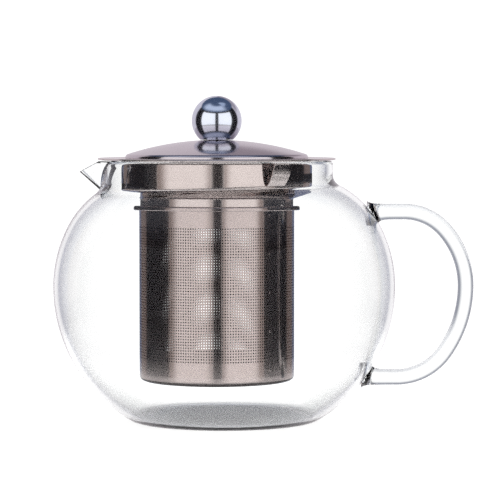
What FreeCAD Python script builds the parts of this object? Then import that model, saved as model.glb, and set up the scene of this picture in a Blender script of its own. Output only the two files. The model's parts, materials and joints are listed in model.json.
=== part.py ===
"""Glass teapot with a steel infuser basket and a steel lid.

The frame stands on the base: the origin is the centre of the flat base on the bowl's own axis, +Z is up,
+X points to the handle and -X to the spout. The neck, the basket and the lid share a second upright axis,
set a little towards the spout. All sizes are in millimetres.
"""
import FreeCAD
import Part
import math
import os

Vec = FreeCAD.Vector

# Glass bowl
bowl_radius = 68.4
bowl_wall = 2.0
bowl_widest_z = 54.3
base_cut = 7.5
upper_arc_radius = 52.0
shoulder_rise = 24.7
shoulder_arc_radius = 38.0
base_fillet = 9.0

# Glass neck
rim_rise = 50.3
neck_offset = 3.0
neck_radius = 46.4
neck_wall = 2.6
neck_root_fillet = 5.0
rim_fillet = 1.0

# Pouring spout
spout_reach = 8.5
spout_tip_drop = 4.4
spout_root_drop = 12.0
spout_wall = 1.8
spout_tip_round = 3.0

# Glass handle
rod_radius = 3.15
handle_reach = 28.3
handle_upper_drop = 20.4
handle_lower_z = 17.8
handle_middle_drop = 50.1
handle_upper_width = 24.7
handle_lower_width = 27.7
handle_upper_corner_radius = 21.5
handle_lower_corner_radius = 23.5
weld_flare = 2.05
weld_length = 3.0

# Infuser collar
sheet = 0.8
seat_gap = 0.3
flange_overhang = 1.2
collar_clearance = 5.7
collar_bend = 1.3
cup_depth = 11.2
shelf_width = 7.1
shelf_drop = 2.5
ring_lap = 4.0
shelf_bend = 1.0

# Infuser sieve and its base
sieve_sheet = 0.4
lap_gap = 0.03
sieve_top_drop = 6.4
hem_reach = 2.2
hem_drop = 1.5
hem_bend = 0.5
sieve_bottom_z = 16.8
sieve_corner = 1.6
sieve_ledge = 2.2
base_edge_height = 1.6

# Spring tabs
tab_width = 8.3
tab_sheet = 0.4
tab_root_drop = 10.0
tab_height = 9.6
tab_lean = 4.2
tab_bow = 0.7
tab_gap = 0.3
tab_corner = 2.0
tab_angle = -53.5

# Lid
lid_clearance = 0.8
lid_sheet = 0.6
lid_rise = 7.2
dome_radius = 115.0
lid_lip = 2.4
lid_bend = 1.0
skirt_sheet = 0.5
skirt_overlap = 1.6
lid_seat_gap = 0.3

# Knob
ball_radius = 10.0
ball_sheet = 0.8
ball_flat = 2.4
ball_gap = 0.05
plug_height = 5.0
plug_gap = 0.05
screw_radius = 2.0
screw_reach = 3.4
screw_gap = 0.05
screw_head_radius = 3.6
screw_head_height = 1.8
screw_slot_depth = 0.8
screw_slot_width = 0.9
washer_gap = 0.03
hole_gap = 0.3
washer_radius = 5.5
washer_sheet = 0.8

# How far a cutting shape runs past what it cuts, and how near counts as the same height
past = 5.0
close_by = 0.01


# Heights and radii that follow from the sizes above

def rim_z():
    return bowl_widest_z + rim_rise


def flange_top():
    return rim_z() + seat_gap + sheet


def shelf_z():
    return rim_z() - cup_depth


def shelf_low_z():
    return shelf_z() - shelf_drop


def sieve_top_z():
    return shelf_z() - sieve_top_drop


def neck_inner_radius():
    return neck_radius - neck_wall


def collar_radius():
    return neck_inner_radius() - collar_clearance


def sieve_radius():
    return collar_radius() - shelf_width


def ring_outer_radius():
    return sieve_radius() - sieve_sheet - lap_gap


def lid_radius():
    return collar_radius() - sheet - lid_clearance


def lid_apex_z():
    return flange_top() + lid_rise


def ball_centre_z():
    return lid_apex_z() + ball_radius - ball_flat


# Outlines

def point(radius, z):
    return Vec(radius, 0, z)


def line(start, end):
    return Part.makeLine(start, end)


def arc(start, middle, end):
    return Part.Arc(start, middle, end).toShape()


def on_circle(centre, radius, degrees):
    """A point of a circle in the XZ plane, at an angle up from +X."""
    turn = math.radians(degrees)
    return Vec(centre.x + radius * math.cos(turn), 0, centre.z + radius * math.sin(turn))


def arc_about(centre, radius, start_degrees, end_degrees):
    middle_degrees = (start_degrees + end_degrees) / 2
    return arc(on_circle(centre, radius, start_degrees), on_circle(centre, radius, middle_degrees),
               on_circle(centre, radius, end_degrees))


def revolve(edges):
    """A full turn about the Z axis of a closed outline in the XZ plane."""
    face = Part.Face(Part.Wire(edges))
    return face.revolve(Vec(0, 0, 0), Vec(0, 0, 1), 360)


def polygon(points):
    closed = points + points[:1]
    return [line(start, end) for start, end in zip(closed, closed[1:])]


def tube(inner, outer, low, high):
    return revolve(polygon([point(inner, low), point(outer, low), point(outer, high), point(inner, high)]))


def disc(radius, low, high):
    return Part.makeCylinder(radius, high - low, Vec(0, 0, low))


def on_neck_axis(shape):
    """Moves a shape made about the Z axis onto the axis of the neck."""
    moved = shape.copy()
    moved.translate(Vec(-neck_offset, 0, 0))
    return moved


def bend_strip(corners, radii, thickness):
    """A sheet-metal strip's closed outline: a run through corners, each rounded on its middle line.

    The strip is made thickness / 2 to each side of the run, and the corner radii are those of the middle line.
    """
    tangents = [(end - start).normalize() for start, end in zip(corners, corners[1:])]
    sides = []
    for side in (1, -1):
        edges = []
        shift = side * thickness / 2
        normals = [Vec(-t.z, 0, t.x) * shift for t in tangents]
        last = corners[0] + normals[0]
        for i, radius in enumerate(radii):
            corner = corners[i + 1]
            before, after = tangents[i], tangents[i + 1]
            turn = before.getAngle(after)
            back = radius * math.tan(turn / 2)
            left_turn = before.x * after.z - before.z * after.x > 0
            arc_radius = radius - shift if left_turn else radius + shift
            inward = Vec(-before.z, 0, before.x) * (1 if left_turn else -1)
            centre = corner - before * back + inward * radius
            bisector = (corner - centre).normalize()
            arc_start = corner - before * back + normals[i]
            arc_end = corner + after * back + normals[i + 1]
            edges.append(line(last, arc_start))
            edges.append(arc(arc_start, centre + bisector * arc_radius, arc_end))
            last = arc_end
        edges.append(line(last, corners[-1] + normals[-1]))
        sides.append(edges)
    first_start = sides[0][0].Vertexes[0].Point
    second_start = sides[1][0].Vertexes[0].Point
    first_end = sides[0][-1].Vertexes[-1].Point
    second_end = sides[1][-1].Vertexes[-1].Point
    return sides[0] + sides[1] + [line(first_start, second_start), line(first_end, second_end)]


def revolve_loose(edges):
    """Like revolve, for edges that are not in order."""
    face = Part.Face(Part.Wire(Part.__sortEdges__(edges)))
    return face.revolve(Vec(0, 0, 0), Vec(0, 0, 1), 360)


# Glass pot

def bowl_solid(inset):
    """The bowl's body of revolution, with every arc moved inwards by inset, closed by a flat top."""
    lower_centre = point(bowl_radius - bowl_widest_z - base_cut, bowl_widest_z)
    upper_centre = point(bowl_radius - upper_arc_radius, bowl_widest_z)
    lower = bowl_widest_z + base_cut - inset
    upper = upper_arc_radius - inset
    base_turn = -math.degrees(math.asin((bowl_widest_z - inset) / lower))
    upper_turn = math.degrees(math.asin(shoulder_rise / upper_arc_radius))
    bend_point = on_circle(upper_centre, upper_arc_radius, upper_turn)
    shoulder_centre = on_circle(upper_centre, upper_arc_radius - shoulder_arc_radius, upper_turn)
    shoulder = shoulder_arc_radius - inset
    inside_neck = neck_radius - 2 * neck_offset
    end_turn = math.degrees(math.acos((inside_neck - shoulder_centre.x) / shoulder_arc_radius))
    shoulder_top = on_circle(shoulder_centre, shoulder, end_turn)
    foot = on_circle(lower_centre, lower, base_turn)
    edges = [
        line(point(0, inset), foot),
        arc_about(lower_centre, lower, base_turn, 0),
        arc_about(upper_centre, upper, 0, upper_turn),
        arc_about(shoulder_centre, shoulder, upper_turn, end_turn),
        line(shoulder_top, point(0, shoulder_top.z)),
        line(point(0, shoulder_top.z), point(0, inset)),
    ]
    body = revolve(edges)
    return body.makeFillet(base_fillet - inset, level_circles(body, inset))


def level_circles(shape, z):
    """The closed edges of a shape that lie level at a height."""
    return [e for e in shape.Edges
            if e.BoundBox.ZLength < close_by and abs(e.BoundBox.ZMax - z) < close_by and e.isClosed()]


def neck_cylinder(radius, top):
    """A cylinder on the neck's axis from the middle of the bowl up to top."""
    return on_neck_axis(disc(radius, bowl_widest_z, top))


def pot_outline(inset, neck, top, root_fillet):
    """Bowl and neck as one filled solid, with the inside corner between shoulder and neck rounded."""
    filled = bowl_solid(inset).fuse(neck_cylinder(neck, top)).removeSplitter()
    def on_neck(edge):
        """Whether an edge runs along the neck's wall, under its top."""
        middle = edge.valueAt((edge.FirstParameter + edge.LastParameter) / 2)
        ends = [middle] + [v.Point for v in edge.Vertexes]
        offs = [abs(math.hypot(p.x + neck_offset, p.y) - neck) for p in ends]
        return max(offs) < close_by and edge.BoundBox.ZMax < top - close_by and edge.BoundBox.YLength > neck

    joint = [e for e in filled.Edges if on_neck(e)]
    return filled.makeFillet(root_fillet, joint)


def spout_outline():
    """The wedge that the spout's outside fills, from its root on the neck up past the rim.

    Its level section is a pair of lines tangent to the neck, meeting in a round tip. All sections shrink
    in line towards the root, so the sides and the keel are straight.
    """
    root_z = rim_z() - spout_root_drop
    top = rim_z() + past
    slope = (spout_root_drop - spout_tip_drop) / spout_reach
    reach = (top - root_z) / slope
    tip_round = spout_tip_round * reach / spout_reach
    neck_x = -neck_offset - neck_radius
    tip_centre_x = neck_x - reach + tip_round
    along = (neck_radius - tip_round) / (-neck_offset - tip_centre_x)
    across = math.sqrt(1 - along ** 2)
    near = Vec(-neck_offset - neck_radius * along, neck_radius * across, top)
    far = Vec(tip_centre_x - tip_round * along, tip_round * across, top)
    tip = Vec(tip_centre_x - tip_round, 0, top)
    far_mirror = Vec(far.x, -far.y, top)
    near_mirror = Vec(near.x, -near.y, top)
    section = Part.Wire([
        line(near, far),
        arc(far, tip, far_mirror),
        line(far_mirror, near_mirror),
        line(near_mirror, near),
    ])
    root = Vec(neck_x, 0, root_z)
    return Part.makeLoft([Part.Vertex(root), section], True, True)


def glass_pot():
    """The bowl, the spout and the handle, fused to each other along faces that they share."""
    filled = pot_outline(0, neck_radius, rim_z(), neck_root_fillet)
    hollow = pot_outline(bowl_wall, neck_inner_radius(), rim_z() + past, neck_root_fillet + bowl_wall)
    beak = spout_outline()
    channel = beak.copy()
    keel_slope = (spout_root_drop - spout_tip_drop) / spout_reach
    channel.translate(Vec(spout_wall * math.sqrt(1 + keel_slope ** 2) / keel_slope, 0, 0))
    bowl = filled.cut(hollow).cut(channel)
    rim_circles = [e for e in bowl.Edges if e.BoundBox.ZMin > rim_z() - close_by and e.BoundBox.XMax > 0]
    bowl = bowl.makeFillet(rim_fillet, rim_circles)
    spout = beak.cut(channel).cut(filled).cut(spout_trim())
    handle = handle_rod(filled).cut(filled)
    return bowl, outer_piece(spout), outer_piece(handle)


def outer_piece(shape):
    """The largest solid of a cut shape, without the offcuts that stay inside the pot."""
    return max(shape.Solids, key=lambda solid: solid.Volume)


def spout_trim():
    """All that lies over the spout's pouring edge: above the rim, and above the line down to the tip."""
    neck_x = -neck_offset - neck_radius
    far_x = neck_x - 3 * spout_reach
    slope = spout_tip_drop / spout_reach
    top = rim_z() + 2 * past
    outline = [
        Vec(neck_x, 0, rim_z()),
        Vec(far_x, 0, rim_z() - slope * (neck_x - far_x)),
        Vec(far_x, 0, top),
        Vec(0, 0, top),
        Vec(0, 0, rim_z()),
    ]
    face = Part.Face(Part.Wire(polygon(outline)))
    face.translate(Vec(0, -neck_radius, 0))
    return face.extrude(Vec(0, 2 * neck_radius, 0))


def two_arc_corner(width, height, corner_radius):
    """The second radius of a two-arc quarter oval that is width by height and starts with corner_radius."""
    return (width ** 2 + height ** 2 - 2 * height * corner_radius) / (2 * (width - corner_radius))


def quarter_oval(start, width, height, corner_radius, up):
    """Edges from start, level, to the point width further out and height below (up -1) or above (up 1) it."""
    side_radius = two_arc_corner(width, height, corner_radius)
    corner_centre = start + Vec(0, 0, up * corner_radius)
    side_centre = start + Vec(width - side_radius, 0, up * height)
    toward = (corner_centre - side_centre).normalize()
    turn = math.degrees(math.atan2(toward.z, toward.x))
    start_turn = -90 * up
    return [
        arc_about(corner_centre, corner_radius, start_turn, turn),
        arc_about(side_centre, side_radius, turn, 0),
    ]


def wall_x(filled, z):
    """Where a level line at height z leaves the pot on the handle's side."""
    return filled.common(line(Vec(0, 0, z), Vec(2 * bowl_radius, 0, z))).BoundBox.XMax


def handle_rod(filled):
    """The bent rod with a flared weld at each end, running a little into the bowl's wall."""
    outer_x = bowl_radius + handle_reach
    upper_z = rim_z() - handle_upper_drop
    middle_z = rim_z() - handle_middle_drop
    upper = Vec(outer_x - handle_upper_width, 0, upper_z)
    lower = Vec(outer_x - handle_lower_width, 0, handle_lower_z)
    upper_root = wall_x(filled, upper_z + rod_radius)
    lower_root = wall_x(filled, handle_lower_z - rod_radius)
    path = [line(Vec(upper_root - weld_length, 0, upper_z), upper)]
    path += quarter_oval(upper, handle_upper_width, upper_z - middle_z, handle_upper_corner_radius, -1)
    path += quarter_oval(lower, handle_lower_width, middle_z - handle_lower_z, handle_lower_corner_radius, 1)
    path.append(line(lower, Vec(lower_root - weld_length, 0, handle_lower_z)))
    spine = Part.Wire(Part.__sortEdges__(path))
    section = Part.Wire(Part.makeCircle(rod_radius, Vec(upper_root - weld_length, 0, upper_z), Vec(1, 0, 0)))
    rod = spine.makePipeShell([section], True, False)
    upper_weld = weld_cone(upper_root, upper_z)
    lower_weld = weld_cone(lower_root, handle_lower_z)
    return rod.fuse([upper_weld, lower_weld]).removeSplitter()


def weld_cone(root_x, z):
    return Part.makeCone(rod_radius + weld_flare, rod_radius, 2 * weld_length,
                         Vec(root_x - weld_length / 2, 0, z), Vec(1, 0, 0))


# Infuser

def infuser_collar():
    """The drawn collar: the flange that hangs on the rim, the cup for the lid, the shelf and the ring."""
    flange_z = flange_top() - sheet / 2
    cup_radius = collar_radius() - sheet / 2
    ring_mid = ring_outer_radius() - sheet / 2
    corners = [
        point(neck_radius + flange_overhang, flange_z),
        point(cup_radius, flange_z),
        point(cup_radius, shelf_z() - sheet / 2),
        point(ring_mid, shelf_low_z() - sheet / 2),
        point(ring_mid, sieve_top_z() - ring_lap),
    ]
    return revolve_loose(bend_strip(corners, [collar_bend, shelf_bend, shelf_bend], sheet))


def infuser_sieve():
    """The tube, with its top edge hemmed outwards and its bottom edge turned in to a ledge."""
    middle = sieve_radius() - sieve_sheet / 2
    low = sieve_bottom_z + sieve_sheet / 2
    hem = sieve_radius() + hem_reach - sieve_sheet / 2
    top = sieve_top_z() - sieve_sheet / 2
    corners = [
        point(hem, sieve_top_z() - hem_drop),
        point(hem, top),
        point(middle, top),
        point(middle, low),
        point(middle - sieve_corner - sieve_ledge, low),
    ]
    return revolve_loose(bend_strip(corners, [hem_bend, hem_bend, sieve_corner], sieve_sheet))


def infuser_base():
    """The strainer disc that lies on the ledge, with its edge turned up against the wall."""
    middle = sieve_radius() - 1.5 * sieve_sheet - lap_gap
    low = sieve_bottom_z + 1.5 * sieve_sheet + lap_gap
    corners = [
        point(middle, low + sieve_corner + base_edge_height),
        point(middle, low),
        point(0, low),
    ]
    return revolve_loose(bend_strip(corners, [sieve_corner], sieve_sheet))


def tab_profile():
    """The side outline of a leaf that springs out from the collar: a shallow bow, its middle line an arc."""
    root = Vec(collar_radius() + tab_gap + tab_sheet / 2, 0, rim_z() - tab_root_drop)
    tip = root + Vec(tab_lean, 0, tab_height)
    chord = (tip - root).normalize()
    outward = Vec(chord.z, 0, -chord.x)
    crown = (root + tip) * 0.5 + outward * tab_bow
    half = outward * (tab_sheet / 2)
    return [
        arc(root - half, crown - half, tip - half),
        line(tip - half, tip + half),
        arc(tip + half, crown + half, root + half),
        line(root + half, root - half),
    ]


def tab_front_view():
    """The leaf's outline seen from outside, with two rounded top corners, as a prism along X."""
    half = tab_width / 2
    low = rim_z() - tab_root_drop - tab_sheet
    top = rim_z() - tab_root_drop + tab_height
    corner = tab_corner
    diagonal = corner * math.sqrt(0.5)
    outline = Part.Wire([
        line(Vec(0, -half, low), Vec(0, half, low)),
        line(Vec(0, half, low), Vec(0, half, top - corner)),
        arc(Vec(0, half, top - corner), Vec(0, half - corner + diagonal, top - corner + diagonal),
            Vec(0, half - corner, top)),
        line(Vec(0, half - corner, top), Vec(0, corner - half, top)),
        arc(Vec(0, corner - half, top), Vec(0, corner - diagonal - half, top - corner + diagonal),
            Vec(0, -half, top - corner)),
        line(Vec(0, -half, top - corner), Vec(0, -half, low)),
    ])
    return Part.Face(outline).extrude(Vec(neck_radius, 0, 0))


def spring_tab(angle):
    """A leaf spring on the collar's side, at an angle about the neck's axis from the handle's side."""
    face = Part.Face(Part.Wire(Part.__sortEdges__(tab_profile())))
    face.translate(Vec(0, -tab_width / 2, 0))
    leaf = face.extrude(Vec(0, tab_width, 0)).common(tab_front_view())
    leaf.rotate(Vec(0, 0, 0), Vec(0, 0, 1), angle)
    return leaf


# Lid

def dome_centre_z():
    return lid_apex_z() - dome_radius


def dome_z(radius, depth=0):
    """The height of the dome's outside, or of the sphere that lies depth under it, at a radius."""
    return dome_centre_z() + math.sqrt((dome_radius - depth) ** 2 - radius ** 2)


def lid_cover():
    """The dome with its edge turned down to a lip and a hole for the knob's screw."""
    edge_z = dome_z(lid_radius())
    hole = screw_radius + hole_gap
    solid_dome = Part.makeSphere(dome_radius, Vec(0, 0, dome_centre_z()))
    under_dome = Part.makeSphere(dome_radius - lid_sheet, Vec(0, 0, dome_centre_z()))
    outside = disc(lid_radius(), edge_z - lid_lip, lid_apex_z() + past).common(solid_dome)
    outside = outside.makeFillet(lid_bend, level_circles(outside, edge_z))
    inside = disc(lid_radius() - lid_sheet, edge_z - 2 * lid_lip, lid_apex_z() + past).common(under_dome)
    return outside.cut(inside).cut(disc(hole, edge_z - lid_lip, lid_apex_z() + past))


def lid_skirt():
    """The guide ring under the lid, which stands just over the shelf."""
    outer = lid_radius() - lid_sheet - lap_gap
    low = shelf_z() + sheet / 2 + lid_seat_gap
    high = dome_z(lid_radius()) - lid_lip + skirt_overlap
    return tube(outer - skirt_sheet, outer, low, high)


def ball_bottom_z():
    return dome_z(0) + ball_gap


def ball_hole_radius():
    drop = ball_centre_z() - ball_bottom_z()
    return math.sqrt((ball_radius - ball_sheet) ** 2 - drop ** 2)


def knob_ball():
    """The hollow ball, cut flat where it stands on the dome."""
    centre = Vec(0, 0, ball_centre_z())
    shell = Part.makeSphere(ball_radius, centre).cut(Part.makeSphere(ball_radius - ball_sheet, centre))
    return shell.cut(disc(2 * ball_radius, ball_centre_z() - 2 * ball_radius, ball_bottom_z()))


def knob_base():
    """The threaded plug in the ball's opening. The thread is drawn as a plain hole."""
    plug = disc(ball_hole_radius() - plug_gap, ball_bottom_z(), ball_bottom_z() + plug_height)
    bore = disc(screw_radius + screw_gap, ball_bottom_z() - past, ball_bottom_z() + plug_height + past)
    return plug.cut(bore)


def washer_top_z():
    return dome_z(washer_radius, lid_sheet) - washer_gap


def knob_washer():
    return tube(screw_radius + screw_gap, washer_radius, washer_top_z() - washer_sheet, washer_top_z())


def knob_screw():
    """The screw from under the lid, with a pan head."""
    head_top = washer_top_z() - washer_sheet
    shank = disc(screw_radius, head_top - screw_head_height / 2, ball_bottom_z() + screw_reach)
    head = disc(screw_head_radius, head_top - screw_head_height, head_top)
    head = head.makeFillet(screw_head_height / 2, level_circles(head, head_top - screw_head_height))
    return head.fuse(shank).removeSplitter().cut(screw_slot(head_top - screw_head_height))


def screw_slot(low):
    slot = Part.makeBox(4 * screw_head_radius, screw_slot_width, 2 * screw_slot_depth)
    slot.translate(Vec(-2 * screw_head_radius, -screw_slot_width / 2, low - screw_slot_depth))
    return slot


def main():
    bowl, spout, handle = glass_pot()
    nodes = {
        "glass_bowl": bowl,
        "pouring_spout": spout,
        "glass_handle": handle,
        "infuser_collar": on_neck_axis(infuser_collar()),
        "infuser_sieve": on_neck_axis(infuser_sieve()),
        "infuser_base": on_neck_axis(infuser_base()),
        "spring_tab_front": on_neck_axis(spring_tab(tab_angle)),
        "spring_tab_rear": on_neck_axis(spring_tab(tab_angle + 180)),
        "lid_cover": on_neck_axis(lid_cover()),
        "lid_skirt": on_neck_axis(lid_skirt()),
        "knob_ball": on_neck_axis(knob_ball()),
        "knob_base": on_neck_axis(knob_base()),
        "knob_washer": on_neck_axis(knob_washer()),
        "knob_screw": on_neck_axis(knob_screw()),
    }
    os.makedirs("parts", exist_ok=True)
    for name, shape in nodes.items():
        print(name, "solids", len(shape.Solids), "valid", shape.isValid(), "volume", round(shape.Volume))
        shape.exportStep("parts/" + name + ".step")


main()
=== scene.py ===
"""Looks of a glass teapot with a steel infuser basket and a steel lid with a ball knob.

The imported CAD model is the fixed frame. The glass, the drawn steel pieces, the perforated sieve and the
knob are made here as finished meshes in the same place and size, and each rides on its CAD body.
Lengths are in metres unless a name ends in _mm.
"""
import json
import math

import bmesh
import bpy
from bpy.props import FloatProperty, FloatVectorProperty, IntProperty, PointerProperty
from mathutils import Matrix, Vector
from mathutils.bvhtree import BVHTree

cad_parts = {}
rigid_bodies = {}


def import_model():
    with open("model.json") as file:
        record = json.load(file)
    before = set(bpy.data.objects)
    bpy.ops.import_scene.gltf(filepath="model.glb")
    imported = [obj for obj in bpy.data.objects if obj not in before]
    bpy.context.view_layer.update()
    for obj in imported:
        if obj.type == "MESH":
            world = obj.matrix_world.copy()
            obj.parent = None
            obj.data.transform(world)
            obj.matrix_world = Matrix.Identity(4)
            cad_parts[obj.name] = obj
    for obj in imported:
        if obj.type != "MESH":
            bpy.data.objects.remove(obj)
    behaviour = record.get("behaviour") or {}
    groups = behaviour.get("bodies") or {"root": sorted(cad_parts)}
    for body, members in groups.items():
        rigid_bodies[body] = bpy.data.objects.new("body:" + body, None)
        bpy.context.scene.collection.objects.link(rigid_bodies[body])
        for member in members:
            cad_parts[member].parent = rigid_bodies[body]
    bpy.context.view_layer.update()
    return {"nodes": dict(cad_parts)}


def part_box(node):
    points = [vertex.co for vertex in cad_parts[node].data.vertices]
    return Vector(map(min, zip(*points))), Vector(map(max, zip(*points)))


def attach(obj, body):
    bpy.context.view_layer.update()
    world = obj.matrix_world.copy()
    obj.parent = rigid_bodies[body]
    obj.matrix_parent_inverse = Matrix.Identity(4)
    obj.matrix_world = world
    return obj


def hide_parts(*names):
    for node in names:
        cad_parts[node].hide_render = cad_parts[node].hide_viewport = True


bl_info = {
    "name": "Glass teapot with infuser",
    "version": (1, 0, 0),
    "blender": (4, 5, 0),
    "location": "3D View > Sidebar > Teapot",
    "description": "Makes the glass, the steel basket and the lid of a teapot round its CAD frame",
    "category": "Object",
}

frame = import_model()
MM = 0.001
PAST = 10 * MM  # how far a cutter runs past what it cuts
AT_AXIS = 0.1 * MM  # a disc's outline closer to the axis than this ends on it
TINY = 1e-7  # closer together than this counts as one point


def centre_of(node, axis):
    low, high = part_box(node)
    return (low[axis] + high[axis]) / 2


def half_width(node, axis):
    low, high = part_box(node)
    return (high[axis] - low[axis]) / 2


BOWL_RADIUS = half_width("glass_bowl", 1)
RIM_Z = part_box("glass_bowl")[1][2]
NECK_X = centre_of("infuser_collar", 0)
FLANGE_RADIUS = half_width("infuser_collar", 1)
FLANGE_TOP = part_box("infuser_collar")[1][2]
RING_END_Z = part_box("infuser_collar")[0][2]
SIEVE_LOW, SIEVE_HIGH = (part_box("infuser_sieve")[i][2] for i in (0, 1))
HEM_RADIUS = half_width("infuser_sieve", 1)
LID_RADIUS = half_width("lid_cover", 1)
LID_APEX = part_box("lid_cover")[1][2]
LIP_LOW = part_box("lid_cover")[0][2]
SKIRT_RADIUS = half_width("lid_skirt", 1)
SKIRT_LOW, SKIRT_HIGH = (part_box("lid_skirt")[i][2] for i in (0, 1))
BALL_RADIUS = half_width("knob_ball", 0)
BALL_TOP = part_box("knob_ball")[1][2]
BALL_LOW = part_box("knob_ball")[0][2]
HANDLE_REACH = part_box("glass_handle")[1][0]
SPOUT_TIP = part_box("pouring_spout")[0][0]


def length_property(name, text, default):
    return FloatProperty(name=name, description=text, default=default, min=0.0, unit="LENGTH", precision=5)


def colour_property(name, text, code):
    return FloatVectorProperty(name=name, description=text, default=linear(code), subtype="COLOR", size=4,
                               min=0.0, max=1.0)


def linear(code):
    """A linear RGBA colour from an sRGB hex code."""
    parts = [int(code[i:i + 2], 16) / 255 for i in (1, 3, 5)]
    return [c / 12.92 if c <= 0.04045 else ((c + 0.055) / 1.055) ** 2.4 for c in parts] + [1.0]


class GlassSizes(bpy.types.PropertyGroup):
    wall: length_property("Bowl wall", "Thickness of the blown bowl", 2.0 * MM)
    neck_wall: length_property("Neck wall", "Thickness of the neck at the rim", 2.6 * MM)
    base: length_property("Base", "Thickness of the flat base", 2.6 * MM)
    neck_radius: length_property("Neck radius", "Outer radius of the neck", 46.4 * MM)
    root_fillet: length_property("Neck fillet", "Radius between shoulder and neck", 5.0 * MM)
    base_fillet: length_property("Base fillet", "Radius between base and bowl", 9.0 * MM)
    widest: length_property("Widest height", "Height where the bowl is widest", 54.3 * MM)
    lower_arc: length_property("Lower arc", "Radius of the bowl's lower outline", 61.8 * MM)
    upper_arc: length_property("Upper arc", "Radius of the bowl's upper outline", 52.0 * MM)
    shoulder_arc: length_property("Shoulder arc", "Radius of the shoulder's outline", 38.0 * MM)
    shoulder_start: length_property("Shoulder start", "Height where the shoulder starts", 79.0 * MM)
    rod_radius: length_property("Rod radius", "Radius of the handle's rod", 3.15 * MM)
    handle_high: length_property("Handle top", "Height of the handle's upper run", 84.2 * MM)
    handle_low: length_property("Handle bottom", "Height of the handle's lower run", 17.8 * MM)
    handle_lift: length_property("Handle lift", "Height of its outermost point over the widest height",
                                 0.2 * MM)
    handle_root: length_property("Handle root", "Where both runs start, inside the bowl", 50.0 * MM)
    handle_high_run: length_property("Upper run end", "Where the upper run starts to bend", 72.0 * MM)
    handle_low_run: length_property("Lower run end", "Where the lower run starts to bend", 69.0 * MM)
    handle_high_corner: length_property("Upper corner", "Radius of the upper corner", 21.5 * MM)
    handle_low_corner: length_property("Lower corner", "Radius of the lower corner", 23.5 * MM)
    weld_flare: length_property("Weld flare", "How far the rod's weld spreads on the bowl", 2.3 * MM)
    weld_fade: length_property("Weld fade", "How fast the flare dies out along the rod", 1.1 * MM)
    spout_root: length_property("Spout root", "Height of the spout's lowest point", 92.6 * MM)
    spout_tip: length_property("Spout tip height", "Height of the spout's tip", 100.2 * MM)
    spout_wall: length_property("Spout wall", "Thickness of the spout", 1.8 * MM)
    spout_round: length_property("Spout tip radius", "Radius of the tip seen from above", 3.0 * MM)
    spout_over: length_property("Spout overrun", "How far the spout runs over the rim before it is trimmed",
                                4.0 * MM)
    spout_edge: length_property("Spout edge", "Fire-polished rounding of its edges", 0.6 * MM)


class SteelSizes(bpy.types.PropertyGroup):
    collar_sheet: length_property("Collar sheet", "Thickness of the drawn collar", 0.8 * MM)
    collar_radius: length_property("Collar radius", "Outer radius of the collar's cup", 38.1 * MM)
    collar_bend: length_property("Collar bend", "Bend between flange and cup", 1.3 * MM)
    shelf_z: length_property("Shelf height", "Height where the shelf starts", 93.4 * MM)
    shelf_drop: length_property("Shelf drop", "How far the shelf slopes down", 2.5 * MM)
    shelf_bend: length_property("Shelf bend", "Bend at both ends of the shelf", 1.0 * MM)
    sieve_radius: length_property("Sieve radius", "Outer radius of the tube", 31.0 * MM)
    sieve_sheet: length_property("Sieve sheet", "Thickness of the tube", 0.4 * MM)
    lap_gap: length_property("Lap gap", "Gap between lapped sheets", 0.03 * MM)
    hem_drop: length_property("Hem drop", "Height of the hem's turned-down lip", 1.5 * MM)
    hem_bend: length_property("Hem bend", "Bends of the hem", 0.5 * MM)
    foot_bend: length_property("Foot bend", "Bend at the tube's bottom edge", 1.6 * MM)
    ledge: length_property("Ledge", "Width of the turned-in ledge", 2.2 * MM)
    lid_sheet: length_property("Lid sheet", "Thickness of the dome", 0.6 * MM)
    dome_radius: length_property("Dome radius", "Radius of the dome's curve", 115.0 * MM)
    lid_bend: length_property("Lid bend", "Bend at the dome's edge", 1.0 * MM)
    screw_hole: length_property("Screw hole", "Radius of the hole for the knob's screw", 2.3 * MM)
    skirt_sheet: length_property("Skirt sheet", "Thickness of the skirt", 0.5 * MM)
    ball_sheet: length_property("Ball sheet", "Thickness of the hollow ball", 0.8 * MM)


class SieveHoles(bpy.types.PropertyGroup):
    rows: IntProperty(name="Rows", description="Rows of holes up the tube", default=48, min=1)
    row_pitch: length_property("Row pitch", "Height from row to row", 1.106 * MM)
    first_row: length_property("First row", "Height of the lowest row", 26.4 * MM)
    columns: IntProperty(name="Columns round", description="Columns in a full turn", default=186, min=8)
    hole: length_property("Hole diameter", "Diameter of each hole", 0.6 * MM)
    strip_start: FloatProperty(name="Strip start", subtype="ANGLE", default=math.radians(40.7),
                               description="Where the plain seam strip starts, from the front")
    strip_columns: IntProperty(name="Strip width", description="Plain columns at the seam", default=8, min=1)
    base_pitch: length_property("Base pitch", "Pitch of the holes in the base disc", 1.5 * MM)
    base_margin: length_property("Base margin", "Plain ring round the holes of the base disc", 4.0 * MM)
    base_hole: length_property("Base hole", "Diameter of the holes in the base disc", 0.8 * MM)
    welds: IntProperty(name="Spot welds", description="Spot welds up the seam", default=5, min=1)
    weld_pitch: length_property("Weld pitch", "Height from weld to weld", 15.2 * MM)
    weld_first: length_property("First weld", "Height of the lowest weld over the tube's bottom", 6.0 * MM)
    weld_radius: length_property("Weld radius", "Radius of each weld's mark", 0.55 * MM)
    weld_height: length_property("Weld height", "How far each weld's mark stands out", 0.05 * MM)


class Colours(bpy.types.PropertyGroup):
    steel: colour_property("Polished steel", "Drawn and polished stainless steel", "#CFC6C4")
    sieve: colour_property("Sieve steel", "Perforated stainless sheet", "#BDB3B1")
    lid: colour_property("Lid steel", "Polished stainless lid", "#C9C1C6")
    ball: colour_property("Ball", "Mirror-polished ball", "#D9DEEA")
    glass: colour_property("Glass tint", "What long paths through the glass keep", "#D4DDD9")
    floor: colour_property("Floor", "Matt pale floor", "#FAFAF9")


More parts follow.
